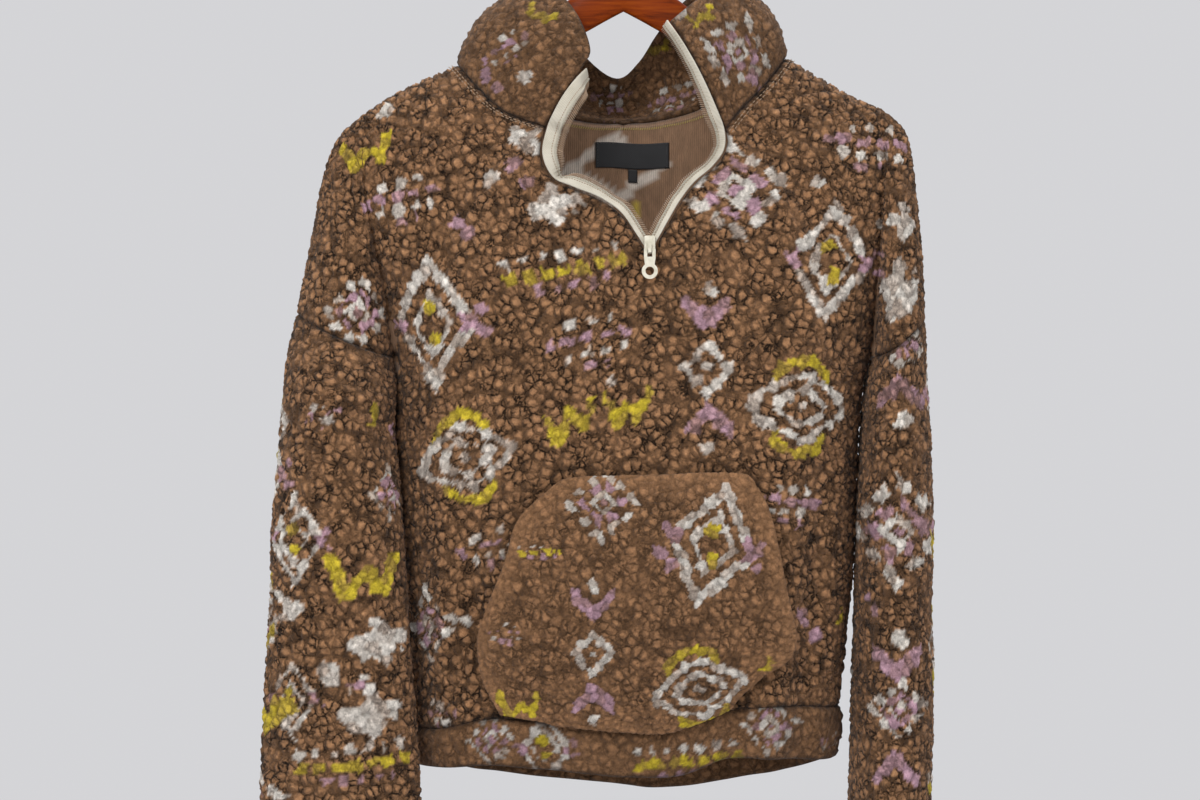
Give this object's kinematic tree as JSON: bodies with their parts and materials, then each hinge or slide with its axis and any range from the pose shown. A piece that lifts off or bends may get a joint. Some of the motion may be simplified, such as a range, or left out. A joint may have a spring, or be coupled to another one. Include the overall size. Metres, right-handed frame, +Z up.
{
  "type": "fleece pullover on a clothes hanger",
  "caption": "Quarter-zip pile fleece pullover with a funnel collar, dropped shoulders and a kangaroo pocket, hung on a wooden hanger with a wire hook.",
  "frame": {"origin": "inner top of the hanger hook, where it rests on a rail", "axes": "+Z up, the garment's front faces -Y, the wearer's right sleeve lies towards -X"},
  "size_m": [0.5777, 0.1672, 0.8652],
  "materials": {
    "fleece": "brown curly sherpa pile",
    "zip_tape": "cream woven tape",
    "zip_metal": "cream enamel",
    "label": "black woven satin",
    "hanger_wood": "cherry varnish",
    "hook_wire": "polished"
  },
  "bodies": {
    "garment": {"front": "fleece", "back": "fleece", "sleeve_left": "fleece", "sleeve_right": "fleece", "collar": "fleece", "hem_band": "fleece", "pocket": "fleece", "zip_tape_left": "zip_tape", "zip_tape_right": "zip_tape", "zip_slider": "zip_metal", "neck_label": "label", "size_label": "label", "hanger_arms": "hanger_wood", "hanger_hook": "hook_wire"},
    "pull_tab": {"zip_pull_tab": "zip_metal"}
  },
  "joints": [
    {"name": "pull_tab_swing", "type": "hinge", "parent": "garment", "child": "pull_tab", "pos_m": [0.0216, -0.0665, -0.317], "axis": [-1, 0, 0], "range_deg": [0, 165]}
  ]
}
